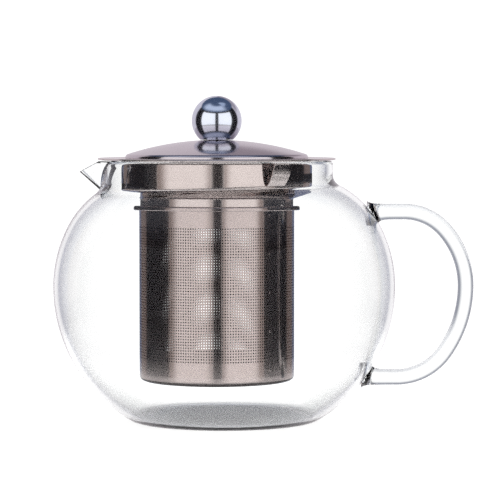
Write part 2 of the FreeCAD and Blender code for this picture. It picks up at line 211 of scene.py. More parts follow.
class LeafSizes(bpy.types.PropertyGroup):
    root: length_property("Root radius", "Middle of the leaf at its root, from the neck's axis", 38.6 * MM)
    sheet: length_property("Sheet", "Thickness of the leaf", 0.4 * MM)
    width: length_property("Width", "Width of the leaf", 8.3 * MM)
    lean: length_property("Lean", "How far the tip stands out past the root", 4.2 * MM)
    bow: length_property("Bow", "Rise of the leaf's bow over its chord", 0.7 * MM)
    corner: length_property("Corner", "Radius of the top corners", 2.0 * MM)


class StudioLight(bpy.types.PropertyGroup):
    white: FloatProperty(name="White", description="Brightness of the white studio", default=1.15)
    floor_light: FloatProperty(name="Floor light", description="Brightness that lights matt surfaces",
                               default=1.5)
    floor_glow: FloatProperty(name="Floor glow", description="Light that the light table gives off",
                              default=0.35)
    floor_clear: FloatProperty(name="Floor clearness", description="Share of the studio seen through it",
                               default=0.55)
    fade_start: length_property("Fade start", "Radius where the floor starts to thin out", 120 * MM)
    fade_end: length_property("Fade end", "Radius where the floor is gone", 270 * MM)
    dark: colour_property("Dark", "What steel mirrors where nothing is lit", "#1C1A1D")
    side: colour_property("Sides", "What the glass bends into view from the sides", "#9A9DA8")
    side_edge: FloatProperty(name="Side edge", description="Cosine off the view where the sides are full",
                             default=0.78)
    white_edge: FloatProperty(name="White edge", description="Cosine off the view where the white starts",
                              default=0.996)


class CameraPlace(bpy.types.PropertyGroup):
    aside: length_property("Aside", "Where the camera looks along X", 10.3 * MM)
    away: length_property("Distance", "Distance in front of the pot", 1100 * MM)
    height: length_property("Height", "Height of the camera", 123.9 * MM)
    look: length_property("Look height", "Height it looks at", 68.8 * MM)
    lens: FloatProperty(name="Lens", description="Focal length in millimetres", default=198.0)
    floor: length_property("Floor radius", "Radius of the round floor", 280 * MM)
    floor_drop: length_property("Floor drop", "Gap under the pot, so that no two faces touch", 0.2 * MM)


def settings(name):
    return getattr(bpy.context.scene, name)


# Outlines: points (radius, height) in the plane of an axis

def arc_points(centre, radius, start, end, steps):
    """Points along an arc, from angle start to angle end in radians, both ends included."""
    turns = [start + (end - start) * i / steps for i in range(steps + 1)]
    return [(centre[0] + radius * math.cos(t), centre[1] + radius * math.sin(t)) for t in turns]


def straight(start, end, steps):
    return [(start[0] + (end[0] - start[0]) * i / steps, start[1] + (end[1] - start[1]) * i / steps)
            for i in range(steps + 1)]


def joined(*runs):
    """One list of points from several runs, without the repeated points where they meet."""
    points = []
    for run in runs:
        for p in run:
            if not points or math.dist(p, points[-1]) > TINY:
                points.append(p)
    return points


def rounded_path(corners, radii, steps=6):
    """A run through corners, with each inner corner replaced by an arc of its radius."""
    points = [corners[0]]
    for before, corner, after, radius in zip(corners, corners[1:], corners[2:], radii):
        back = (Vector(before) - Vector(corner)).normalized()
        on = (Vector(after) - Vector(corner)).normalized()
        half = back.angle(on) / 2
        middle = Vector(corner) + (back + on).normalized() * (radius / math.sin(half))
        start = Vector(corner) + back * (radius / math.tan(half)) - middle
        end = Vector(corner) + on * (radius / math.tan(half)) - middle
        first = math.atan2(start.y, start.x)
        turn = (math.atan2(end.y, end.x) - first + math.pi) % (2 * math.pi) - math.pi
        points += arc_points(middle, radius, first, first + turn, steps)
    return points + [corners[-1]]


def sheet_outline(path, thickness, edge_steps=4):
    """The closed outline of a sheet whose middle line is path, with half-round edges."""
    points = [Vector(p) for p in path]
    tangents = [tangent_at(points, i) for i in range(len(points))]
    normals = [Vector((-tangent.y, tangent.x)) for tangent in tangents]
    half = thickness / 2
    left = [p + n * half for p, n in zip(points, normals)]
    right = [p - n * half for p, n in zip(points, normals)]
    end = edge_round(points[-1], normals[-1], half, edge_steps)
    start = edge_round(points[0], -normals[0], half, edge_steps)
    return [tuple(p) for p in left + end + right[::-1] + start]


def tangent_at(points, i):
    return (points[min(i + 1, len(points) - 1)] - points[max(i - 1, 0)]).normalized()


def edge_round(middle, normal, half, steps):
    """The half round from one face of a sheet to the other, clockwise, without its two ends."""
    first = math.atan2(normal.y, normal.x)
    turns = [first - math.pi * i / steps for i in range(1, steps)]
    return [middle + Vector((math.cos(turn), math.sin(turn))) * half for turn in turns]


def on_circle(radius, turn, z, axis_x=NECK_X):
    """The point at a distance from an upright axis, at an angle about it and a height."""
    return Vector((axis_x + radius * math.cos(turn), radius * math.sin(turn), z))


# Meshes

def new_object(name, bm):
    """A mesh object from a bmesh, with all faces outwards."""
    bmesh.ops.recalc_face_normals(bm, faces=bm.faces)
    mesh = bpy.data.meshes.new(name)
    bm.to_mesh(mesh)
    bm.free()
    return finish_mesh(bpy.data.objects.new(name, mesh))


def skin(bm, rings, around=True, capped=False):
    """Faces from each ring of corners to the next. A ring may be one corner repeated, as at a pole."""
    for low, high in zip(rings, rings[1:]):
        for i in range(len(low) if around else len(low) - 1):
            j = (i + 1) % len(low)
            corners = list(dict.fromkeys([low[i], low[j], high[j], high[i]]))
            if len(corners) > 2:
                bm.faces.new(corners)
    if capped:
        bm.faces.new(rings[0])
        bm.faces.new(rings[-1])


def finish_mesh(obj, smooth_angle=35):
    """Shades smooth, except where faces meet at more than smooth_angle degrees."""
    if obj.name not in bpy.context.scene.collection.objects:
        bpy.context.scene.collection.objects.link(obj)
    obj.data.shade_smooth()
    obj.data.set_sharp_from_angle(angle=math.radians(smooth_angle))
    return obj


def turned(name, outline, axis_x=NECK_X, segments=192):
    """A closed outline turned about an upright axis. Points on the axis become poles."""
    bm = bmesh.new()
    rings = []
    for radius, z in outline:
        if radius < TINY:
            rings.append([bm.verts.new((axis_x, 0, z))] * segments)
        else:
            turns = [2 * math.pi * i / segments for i in range(segments)]
            rings.append([bm.verts.new(on_circle(radius, turn, z, axis_x)) for turn in turns])
    skin(bm, rings if outline[0][0] < TINY else rings + rings[:1])
    return new_object(name, bm)


def boolean(obj, tool, operation):
    """Cuts or joins tool into obj for good, and removes tool."""
    modifier = obj.modifiers.new(operation, "BOOLEAN")
    modifier.operation = operation
    modifier.solver = "MANIFOLD"
    modifier.object = tool
    freeze(obj)
    bpy.data.objects.remove(tool)
    return obj


def freeze(obj):
    """Replaces obj's mesh by what its modifiers make of it, and removes them."""
    bpy.context.view_layer.update()
    graph = bpy.context.evaluated_depsgraph_get()
    mesh = bpy.data.meshes.new_from_object(obj.evaluated_get(graph), preserve_all_data_layers=True,
                                           depsgraph=graph)
    obj.modifiers.clear()
    old = obj.data
    obj.data = mesh
    bpy.data.meshes.remove(old)
    return obj


def deliver(obj, body, slot_name, material, *nodes):
    """Gives a finished piece its material and its body, and hides the CAD nodes that it stands for. slot_name
    is not used.
    """
    obj.data.materials.clear()
    obj.data.materials.append(material)
    if nodes:
        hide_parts(*nodes)
    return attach(obj, body)


# Glass

def bowl_run(s, inset, base_z, neck_radius, fillet, azimuth):
    """The outline of the pot's outside (inset 0) or inside, from the base's middle to under the rim.

    It is a list of (distance from the bowl's axis, height). The bowl is round about its own axis and the
    neck about the neck's axis, so the distance of the neck depends on the azimuth about the neck's axis.
    """
    widest = (BOWL_RADIUS, s.widest)
    lower_centre = (widest[0] - s.lower_arc, s.widest)
    upper_centre = (widest[0] - s.upper_arc, s.widest)
    lower = s.lower_arc - inset
    upper = s.upper_arc - inset
    corner = s.base_fillet - inset
    corner_x = lower_centre[0] + math.sqrt((lower - corner) ** 2 - (s.widest - base_z - corner) ** 2)
    corner_turn = math.atan2(base_z + corner - s.widest, corner_x - lower_centre[0])
    upper_turn = math.asin((s.shoulder_start - s.widest) / s.upper_arc)
    lift = s.upper_arc - s.shoulder_arc
    shoulder_centre = (upper_centre[0] + lift * math.cos(upper_turn), s.widest + lift * math.sin(upper_turn))
    shoulder = s.shoulder_arc - inset
    neck = math.sqrt(NECK_X ** 2 + neck_radius ** 2 + 2 * NECK_X * neck_radius * math.cos(azimuth))
    fillet_x = neck + fillet
    fillet_z = shoulder_centre[1] + math.sqrt((shoulder + fillet) ** 2 - (fillet_x - shoulder_centre[0]) ** 2)
    touch = math.atan2(fillet_z - shoulder_centre[1], fillet_x - shoulder_centre[0])
    return joined(
        straight((0, base_z), (corner_x, base_z), 10),
        arc_points((corner_x, base_z + corner), corner, -math.pi / 2, corner_turn, 8),
        arc_points(lower_centre, lower, corner_turn, 0, 36),
        arc_points(upper_centre, upper, 0, upper_turn, 16),
        arc_points(shoulder_centre, shoulder, upper_turn, touch, 14),
        arc_points((fillet_x, fillet_z), fillet, touch + math.pi, math.pi, 8),
        straight((neck, fillet_z), (neck, RIM_Z - s.neck_wall / 2), 6),
    )


def axis_shift(s, z):
    """How far the grid's own axis has moved from the bowl's axis to the neck's, at a height."""
    share = min(max(z / s.widest, 0), 1)
    return NECK_X * share * share * (3 - 2 * share)


def on_surface(s, distance, z, azimuth):
    """The point at a distance from the bowl's axis and a height, at an azimuth about the grid's axis."""
    shift = axis_shift(s, z)
    if distance <= abs(shift) * 2:
        return Vector((distance * math.cos(azimuth), distance * math.sin(azimuth), z))
    reach = -shift * math.cos(azimuth) + math.sqrt(distance ** 2 - (shift * math.sin(azimuth)) ** 2)
    return Vector((shift + reach * math.cos(azimuth), reach * math.sin(azimuth), z))


def blown_bowl(s, segments=288):
    """The bowl and neck as one closed wall: outside, rounded rim, inside."""
    bm = bmesh.new()
    floor = bm.verts.new((0, 0, 0))
    inner_floor = bm.verts.new((0, 0, s.base))
    columns = []
    rim_steps = 10
    for i in range(segments):
        azimuth = 2 * math.pi * i / segments
        outside = bowl_run(s, 0, 0, s.neck_radius, s.root_fillet, azimuth)
        inside = bowl_run(s, s.wall, s.base, s.neck_radius - s.neck_wall, s.root_fillet + s.neck_wall,
                          azimuth)
        top_out, top_in = outside[-1], inside[-1]
        half = (top_out[0] - top_in[0]) / 2
        rim = arc_points(((top_out[0] + top_in[0]) / 2, top_out[1]), half, 0, math.pi, rim_steps)
        run = outside[1:] + rim[1:-1] + inside[:0:-1]
        wall = [bm.verts.new(on_surface(s, distance, z, azimuth)) for distance, z in run]
        columns.append([floor] + wall + [inner_floor])
    skin(bm, columns + columns[:1], around=False)
    return new_object("glass_pot", bm)


def channel_move(s):
    """How far along X the spout's channel is moved in from its outside.

    The wall slopes, so this is more than the wall. It leaves the wall a little thinner than spout_wall.
    """
    return s.spout_wall * 4 / 3


def spout_wedge(s, name, move=0.0):
    """The solid wedge of the spout's outside, or of its channel when moved inwards."""
    top = RIM_Z + s.spout_over
    neck_x = NECK_X - s.neck_radius
    reach_at_tip = neck_x - SPOUT_TIP
    scale = (top - s.spout_root) / (s.spout_tip - s.spout_root)
    reach = reach_at_tip * scale
    tip_round = s.spout_round * scale
    tip_centre = neck_x - reach + tip_round
    along = (s.neck_radius - tip_round) / (NECK_X - tip_centre)
    turn = math.acos(along)
    arc = arc_points((-tip_centre, 0), tip_round, turn, -turn, 32)
    near = (-NECK_X + s.neck_radius * along, s.neck_radius * math.sin(turn))
    outline = straight(near, arc[0], 8)[:-1] + arc + straight(arc[-1], (near[0], -near[1]), 8)[1:]
    bm = bmesh.new()
    root = Vector((neck_x + move, 0, s.spout_root))
    rings = [[bm.verts.new(root)] * len(outline)]
    rows = 24
    for k in range(1, rows + 1):
        ring = [root.lerp(Vector((move - x, y, top)), k / rows) for x, y in outline]
        rings.append([bm.verts.new(place) for place in ring])
    skin(bm, rings)
    bm.faces.new(rings[-1])
    return new_object(name, bm)


def spout_trim(s):
    """Everything over the spout's pouring edge, as a prism across the pot."""
    neck_x = NECK_X - s.neck_radius
    far_x = SPOUT_TIP - PAST
    slope = (RIM_Z - s.spout_tip) / (neck_x - SPOUT_TIP)
    top = RIM_Z + PAST
    outline = [(neck_x, RIM_Z), (far_x, RIM_Z - slope * (neck_x - far_x)), (far_x, top), (0, top), (0, RIM_Z)]
    bm = bmesh.new()
    sides = [[bm.verts.new((x, y, z)) for x, z in outline] for y in (-s.neck_radius, s.neck_radius)]
    skin(bm, sides, capped=True)
    return new_object("spout_trim", bm)


def beak(s):
    """The spout's wall alone, with fire-polished edges, running half way into the neck's wall."""
    wall_middle = s.neck_radius - s.neck_wall / 2
    shell = spout_wedge(s, "spout_shell")
    boolean(shell, spout_wedge(s, "spout_channel", channel_move(s)), "DIFFERENCE")
    boolean(shell, spout_trim(s), "DIFFERENCE")
    top = RIM_Z * 2
    core = turned("neck_core", [(0, s.widest), (wall_middle, s.widest), (wall_middle, top), (0, top)])
    boolean(shell, core, "DIFFERENCE")
    keep_outermost(shell)
    bevel = shell.modifiers.new("edge", "BEVEL")
    bevel.width = s.spout_edge
    bevel.segments = 4
    bevel.limit_method = "ANGLE"
    bevel.angle_limit = math.radians(50)
    bevel.use_clamp_overlap = True
    return freeze(shell)


def keep_outermost(obj):
    """Drops the loose offcuts that a cut left inside the pot, and keeps the part that reaches furthest."""
    bm = bmesh.new()
    bm.from_mesh(obj.data)
    left = set(bm.verts)
    islands = []
    while left:
        todo = [left.pop()]
        island = set(todo)
        while todo:
            for edge in todo.pop().link_edges:
                for vertex in edge.verts:
                    if vertex in left:
                        left.discard(vertex)
                        island.add(vertex)
                        todo.append(vertex)
        islands.append(island)
    islands.sort(key=lambda island: min(v.co.x for v in island))
    bmesh.ops.delete(bm, geom=[v for island in islands[1:] for v in island], context="VERTS")
    bm.to_mesh(obj.data)
    bm.free()


def oval_corner(start, width, height, corner, up, steps):
    """A quarter oval of two arcs from a level start to a point width further out, height above or below."""
    side = (width ** 2 + height ** 2 - 2 * height * corner) / (2 * (width - corner))
    corner_centre = Vector((start[0], start[1] + up * corner))
    side_centre = Vector((start[0] + width - side, start[1] + up * height))
    toward = corner_centre - side_centre
    turn = math.atan2(toward.y, toward.x)
    return joined(arc_points(corner_centre, corner, -up * math.pi / 2, turn, steps),
                  arc_points(side_centre, side, turn, 0, steps))


def handle_run(s):
    """The middle line of the handle, from inside the bowl's wall round to inside it again."""
    outer_x = HANDLE_REACH - s.rod_radius
    middle_z = s.widest + s.handle_lift
    steps = 56
    high = (s.handle_high_run, s.handle_high)
    low = (s.handle_low_run, s.handle_low)
    upper = oval_corner(high, outer_x - high[0], s.handle_high - middle_z, s.handle_high_corner, -1, steps)
    lower = oval_corner(low, outer_x - low[0], middle_z - s.handle_low, s.handle_low_corner, 1, steps)
    return joined(straight((s.handle_root, s.handle_high), high, 40), upper, lower[::-1],
                  straight(low, (s.handle_root, s.handle_low), 40))


def handle_rod(s, bowl):
    """The bent rod, flared where it is welded to the bowl, with both ends inside the bowl's wall."""
    tree = BVHTree.FromObject(bowl, bpy.context.evaluated_depsgraph_get())
    run = [Vector((x, 0, z)) for x, z in handle_run(s)]
    segments = 48
    across = Vector((0, 1, 0))
    bm = bmesh.new()
    rings = []
    for i, p in enumerate(run):
        up = tangent_at(run, i).cross(across)
        ring = []
        for k in range(segments):
            turn = 2 * math.pi * k / segments
            out = across * math.cos(turn) + up * math.sin(turn)
            place = p + out * s.rod_radius
            gap = 0.0 if is_within(s, place) else tree.find_nearest(place)[3]
            ring.append(place + out * (s.weld_flare * math.exp(-gap / s.weld_fade)))
        rings.append(ring)
    outside = [i for i, p in enumerate(run) if not is_within(s, p)]
    kept = rings[outside[0] - 1:outside[-1] + 2]
    skin(bm, [[bm.verts.new(place) for place in ring] for ring in kept], capped=True)
    return new_object("handle_rod", bm)


def is_within(s, place):
    """True if a point on the handle's side lies deeper than half the bowl's wall."""
    run = bowl_run(s, s.wall / 2, s.base / 2, s.neck_radius, s.root_fillet, 0)
    distance = math.hypot(place.x, place.y)
    for (r0, z0), (r1, z1) in zip(run, run[1:]):
        if z0 <= place.z < z1:
            return distance < r0 + (r1 - r0) * (place.z - z0) / (z1 - z0)
    return False


# Steel

def collar_outline(s):
    """The drawn collar: flange, cup for the lid, sloped shelf and the ring that holds the sieve."""
    half = s.collar_sheet / 2
    cup = s.collar_radius - half
    ring = s.sieve_radius - s.sieve_sheet - s.lap_gap - half
    corners = [
        (FLANGE_RADIUS - half, FLANGE_TOP - half),
        (cup, FLANGE_TOP - half),
        (cup, s.shelf_z - half),
        (ring, s.shelf_z - s.shelf_drop - half),
        (ring, RING_END_Z + half),
    ]
    path = rounded_path(corners, [s.collar_bend, s.shelf_bend, s.shelf_bend])
    return sheet_outline(dense(path, 2 * MM), s.collar_sheet)


def dense(path, step):
    """The same run with extra points on its long stretches, so that shading stays even."""
    points = [path[0]]
    for start, end in zip(path, path[1:]):
        points += straight(start, end, max(1, math.ceil(math.dist(start, end) / step)))[1:]
    return points


def hem_outline(s):
    """The tube's hem and the plain band under it, as one strip of sheet down to the first holes."""
    middle = s.sieve_radius - s.sieve_sheet / 2
    hem = HEM_RADIUS - s.sieve_sheet / 2
    top = SIEVE_HIGH - s.sieve_sheet / 2
    low = holes_high(settings("holes"))
    corners = [(hem, SIEVE_HIGH - s.hem_drop), (hem, top), (middle, top), (middle, low)]
    return sheet_outline(dense(rounded_path(corners, [s.hem_bend, s.hem_bend], 5), 2 * MM), s.sieve_sheet, 2)


def foot_outline(s):
    """The plain band under the holes and the ledge turned in at the bottom."""
    middle = s.sieve_radius - s.sieve_sheet / 2
    low = SIEVE_LOW + s.sieve_sheet / 2
    corners = [(middle, holes_low(settings("holes"))), (middle, low), (middle - s.foot_bend - s.ledge, low)]
    return sheet_outline(dense(rounded_path(corners, [s.foot_bend], 6), 2 * MM), s.sieve_sheet, 2)


def open_to_axis(outline):
    """Turns a closed outline that ends at the axis into a run from the axis round to the axis again."""
    near = [i for i, point in enumerate(outline) if point[0] < AT_AXIS]
    start = max(near)
    run = outline[start + 1:] + outline[:start + 1]
    return [(0.0, run[0][1])] + [p for p in run if p[0] >= AT_AXIS] + [(0.0, run[-1][1])]


def holes_low(h):
    return h.first_row - h.row_pitch / 2


def holes_high(h):
    return h.first_row + h.row_pitch * (h.rows - 0.5)


def lid_outline(s):
    """The dome from the screw's hole out to its turned-down lip."""
    half = s.lid_sheet / 2
    middle = s.dome_radius - half
    low_centre = LID_APEX - math.sqrt(s.dome_radius ** 2 - s.screw_hole ** 2)
    lip = LID_RADIUS - half
    first = math.acos(s.screw_hole / middle)
    last = math.acos(lip / middle)
    dome = arc_points((0, low_centre), middle, first, last, 40)
    edge = dome[-1]
    path = dome[:-1] + rounded_path([dome[-2], edge, (lip, LIP_LOW + half)], [s.lid_bend], 6)[1:]
    return sheet_outline(path, s.lid_sheet, 3)


def skirt_outline(s):
    half = s.skirt_sheet / 2
    middle = SKIRT_RADIUS - half
    path = straight((middle, SKIRT_HIGH - half), (middle, SKIRT_LOW + half), 8)
    return sheet_outline(path, s.skirt_sheet, 3)


def ball_outline(s):
    """The hollow ball from its top down the outside to its flat rim, and back up inside."""
    centre = (0, BALL_TOP - BALL_RADIUS)
    drop = centre[1] - BALL_LOW
    inner = BALL_RADIUS - s.ball_sheet
    outside = arc_points(centre, BALL_RADIUS, math.pi / 2, -math.asin(drop / BALL_RADIUS), 64)
    inside = arc_points(centre, inner, -math.asin(drop / inner), math.pi / 2, 48)
    return outside + inside


def lapped(name, outline, start, end, columns):
    """A closed outline turned through part of a turn, closed at both ends."""
    bm = bmesh.new()
    turns = [start + (end - start) * i / columns for i in range(columns + 1)]
    skin(bm, [[bm.verts.new(on_circle(r, turn, z)) for r, z in outline] for turn in turns], capped=True)
    return new_object(name, bm)


def spring_leaf(name, node):
    """A bowed leaf with rounded top corners, in the place of its CAD node."""
    low, high = (Vector(corner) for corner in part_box(node))
    middle = (low + high) / 2
    turn = math.atan2(middle.y, middle.x - NECK_X)
    s = settings("leaf")
    root = Vector((s.root, low.z + s.sheet / 2))
    tip = Vector((s.root + s.lean, high.z - s.sheet / 2))
    chord = (tip - root).normalized()
    outward = Vector((chord.y, -chord.x))
    rows, columns = 16, 14
    bm = bmesh.new()
    grid = []
    for i in range(rows + 1):
        share = i / rows
        place = root.lerp(tip, share) + outward * (s.bow * 4 * share * (1 - share))
        half = s.width / 2
        from_top = (1 - share) * (tip - root).length
        if from_top < s.corner:
            half += math.sqrt(s.corner ** 2 - (s.corner - from_top) ** 2) - s.corner
        line = []
        for k in range(columns + 1):
            side = half * (2 * k / columns - 1)
            x = NECK_X + place.x * math.cos(turn) - side * math.sin(turn)
            y = place.x * math.sin(turn) + side * math.cos(turn)
            line.append(bm.verts.new((x, y, place.y)))
        grid.append(line)
    skin(bm, grid, around=False)
    leaf = new_object(name, bm)
    solid = leaf.modifiers.new("sheet", "SOLIDIFY")
    solid.thickness = s.sheet
    solid.offset = 0
    bevel = leaf.modifiers.new("edge", "BEVEL")
    bevel.width = s.sheet / 5
    bevel.segments = 2
    bevel.limit_method = "ANGLE"
    return finish_mesh(freeze(leaf))


# Repeated holes, as Geometry Nodes

class Tree:
    """Builds one Geometry Nodes tree: named inputs, nodes with their settings, and links."""

    def __init__(self, name, inputs):
        self.tree = bpy.data.node_groups.new(name, "GeometryNodeTree")
        self.tree.interface.new_socket("Geometry", in_out="INPUT", socket_type="NodeSocketGeometry")
        self.tree.interface.new_socket("Geometry", in_out="OUTPUT", socket_type="NodeSocketGeometry")
        self.ids = {}
        for label, kind in inputs.items():
            socket = self.tree.interface.new_socket(label, in_out="INPUT", socket_type="NodeSocket" + kind)
            self.ids[label] = socket.identifier
        self.given = self.tree.nodes.new("NodeGroupInput").outputs

    def add(self, kind, inputs=(), **values):
        return add_node(self.tree, kind, inputs, **values)

    def math(self, operation, *inputs):
        return self.add("ShaderNodeMath", dict(enumerate(inputs)), operation=operation).outputs[0]

    def end(self, geometry):
        """Ends in Realize Instances and Set Material, as a mesh merged where its copies meet."""
        real = self.add("GeometryNodeRealizeInstances", {"Geometry": geometry}).outputs[0]
        merged = self.add("GeometryNodeMergeByDistance", {"Geometry": real, "Distance": 2e-6}).outputs[0]
        shown = self.add("GeometryNodeSetMaterial", {"Geometry": merged, "Material": self.given["Material"]})
        self.add("NodeGroupOutput", {"Geometry": shown.outputs[0]})
        return self

    def apply(self, obj, values):
        """Runs the tree on obj with these inputs, and leaves the plain mesh that it makes."""
        modifier = obj.modifiers.new("pattern", "NODES")
        modifier.node_group = self.tree
        for label, value in values.items():
            modifier[self.ids[label]] = value
        return freeze(obj)


def add_node(tree, kind, inputs=(), **values):
    """Adds a node with its settings. Each input is a value, or another node's output to link."""
    node = tree.nodes.new(kind)
    for name, value in values.items():
        setattr(node, name, value)
    for name, value in dict(inputs).items():
        if isinstance(value, bpy.types.NodeSocket):
            tree.links.new(value, node.inputs[name])
        else:
            node.inputs[name].default_value = value
    return node


def holed_cell(name, outer, inner, turn_step, height, hole, corners=8):
    """One tile of the sieve's wall with its hole: outer and inner face, and the hole's side."""
    bm = bmesh.new()
    half = turn_step / 2
    per_side = corners // 4
    rings = []
    for radius in (outer, inner):
        square = [bm.verts.new(on_circle(radius, turn, z, 0)) for turn, z in (
            (half, height / 2), (-half, height / 2), (-half, -height / 2), (half, -height / 2))]
        flat = radius * math.cos(half)
        circle = arc_points((0, 0), hole / 2, 0, 2 * math.pi, corners)[:-1]
        ring = [bm.verts.new((flat, y, z)) for y, z in circle]
        for side in range(4):
            edge = [ring[(side * per_side + k) % corners] for k in range(per_side + 1)]
            for near, far in zip(edge, edge[1:]):
                bm.faces.new((square[side], near, far))
            bm.faces.new((square[side], edge[-1], square[(side + 1) % 4]))
        rings.append(ring)
    skin(bm, rings)
    return new_object(name, bm)


def hole_wall_tree():
    """Copies of one holed tile, row by row up a round wall."""
    t = Tree("Perforated wall", {"Rows": "Int", "Columns": "Int", "Row Pitch": "Float", "First Row": "Float",
                                 "Start Turn": "Float", "Turn Step": "Float", "Axis X": "Float",
                                 "Material": "Material"})
    g = t.given
    count = t.math("MULTIPLY", g["Rows"], g["Columns"])
    points = t.add("GeometryNodeMeshLine", {"Count": count, "Offset": (0, 0, 0)}).outputs[0]
    index = t.add("GeometryNodeInputIndex").outputs[0]
    row = t.math("FLOOR", t.math("DIVIDE", t.math("ADD", index, 0.5), g["Columns"]))
    column = t.math("SUBTRACT", index, t.math("MULTIPLY", row, g["Columns"]))
    height = t.math("ADD", g["First Row"], t.math("MULTIPLY", row, g["Row Pitch"]))
    turn = t.math("ADD", g["Start Turn"], t.math("MULTIPLY", t.math("ADD", column, 0.5), g["Turn Step"]))
    place = t.add("ShaderNodeCombineXYZ", {"X": g["Axis X"], "Z": height}).outputs[0]
    placed = t.add("GeometryNodeSetPosition", {"Geometry": points, "Position": place}).outputs[0]
    euler = t.add("ShaderNodeCombineXYZ", {"Z": turn}).outputs[0]
    rotation = t.add("FunctionNodeEulerToRotation", {"Euler": euler}).outputs[0]
    copies = t.add("GeometryNodeInstanceOnPoints",
                   {"Points": placed, "Instance": g["Geometry"], "Rotation": rotation}).outputs[0]
    return t.end(copies)


def weld_tree():
    """Copies of one spot weld up a line."""
    t = Tree("Spot welds", {"Count": "Int", "Pitch": "Float", "Material": "Material"})
    g = t.given
    step = t.add("ShaderNodeCombineXYZ", {"Z": g["Pitch"]}).outputs[0]
    points = t.add("GeometryNodeMeshLine", {"Count": g["Count"], "Offset": step}).outputs[0]
    copies = t.add("GeometryNodeInstanceOnPoints", {"Points": points, "Instance": g["Geometry"]}).outputs[0]
    return t.end(copies)


def hole_disc_tree():
    """Holes on a square grid, cut through a disc inside a radius."""
    t = Tree("Perforated disc", {"Cutter": "Object", "Pitch": "Float", "Reach": "Float", "Axis X": "Float",
                                 "Height": "Float", "Material": "Material"})
    g = t.given
    across = t.math("MULTIPLY", g["Reach"], 2.0)
    count = t.math("ADD", t.math("FLOOR", t.math("DIVIDE", across, g["Pitch"])), 1.0)
    width = t.math("MULTIPLY", t.math("SUBTRACT", count, 1.0), g["Pitch"])
    grid = t.add("GeometryNodeMeshGrid", {"Size X": width, "Size Y": width, "Vertices X": count,
                                          "Vertices Y": count}).outputs[0]
    position = t.add("GeometryNodeInputPosition").outputs[0]
    length = t.add("ShaderNodeVectorMath", {0: position}, operation="LENGTH").outputs["Value"]
    far = t.add("FunctionNodeCompare", {0: length, 1: g["Reach"]}, data_type="FLOAT",
                operation="GREATER_THAN").outputs[0]
    kept = t.add("GeometryNodeDeleteGeometry", {"Geometry": grid, "Selection": far}).outputs[0]
    move = t.add("ShaderNodeCombineXYZ", {"X": g["Axis X"], "Z": g["Height"]}).outputs[0]
    placed = t.add("GeometryNodeSetPosition", {"Geometry": kept, "Offset": move}).outputs[0]
    cutter = t.add("GeometryNodeObjectInfo", {"Object": g["Cutter"]}).outputs["Geometry"]
    copies = t.add("GeometryNodeInstanceOnPoints", {"Points": placed, "Instance": cutter}).outputs[0]
    cutters = t.add("GeometryNodeRealizeInstances", {"Geometry": copies}).outputs[0]
    cut = t.add("GeometryNodeMeshBoolean", {0: g["Geometry"], 1: cutters}, operation="DIFFERENCE",
                solver="MANIFOLD").outputs[0]
    return t.end(cut)


def close_rims(obj):
    """Joins the open rims of the outer and the inner face of a tiled wall."""
    bm = bmesh.new()
    bm.from_mesh(obj.data)
    open_edges = [e for e in bm.edges if e.is_boundary]
    bmesh.ops.bridge_loops(bm, edges=open_edges)
    bmesh.ops.recalc_face_normals(bm, faces=bm.faces)
    bm.to_mesh(obj.data)
    bm.free()
    return finish_mesh(obj)


def small_round(name, radius, low, high, corners=8):
    """A small round cutter about the Z axis."""
    return turned(name, [(0, low), (radius, low), (radius, high), (0, high)], 0, corners)


def weld_spot(name, place, radius, height):
    """One spot weld's low round mark on the sieve's wall, seen as a shallow button."""
    bm = bmesh.new()
    bmesh.ops.create_uvsphere(bm, u_segments=16, v_segments=8, radius=radius)
    out = Vector((place.x - NECK_X, place.y, 0)).normalized()
    for v in bm.verts:
        along = v.co.dot(out)
        v.co += out * (along * (height / radius) - along)
        v.co += place
    return new_object(name, bm)


# Materials

def new_material(name, inputs):
    """A material whose Principled shader has these inputs, with its tree, its shader and its output."""
    material = bpy.data.materials.new(name)
    material.use_nodes = True
    tree = material.node_tree
    tree.nodes.clear()
    shader = add_node(tree, "ShaderNodeBsdfPrincipled", inputs)
    output = add_node(tree, "ShaderNodeOutputMaterial", {"Surface": shader.outputs[0]})
    return material, tree, shader, output


def about_axis(tree):
    """Object coordinates as (distance from the neck's axis, 0, height), so that a pattern runs in rings."""
    place = add_node(tree, "ShaderNodeTexCoord").outputs["Object"]
    moved = add_node(tree, "ShaderNodeVectorMath", {0: place, 1: (-NECK_X, 0, 0)}, operation="ADD").outputs[0]
    flat = add_node(tree, "ShaderNodeVectorMath", {0: moved, 1: (1, 1, 0)}, operation="MULTIPLY").outputs[0]
    radius = add_node(tree, "ShaderNodeVectorMath", {0: flat}, operation="LENGTH").outputs["Value"]
    height = add_node(tree, "ShaderNodeSeparateXYZ", {0: moved}).outputs["Z"]
    return add_node(tree, "ShaderNodeCombineXYZ", {"X": radius, "Z": height}).outputs[0], place


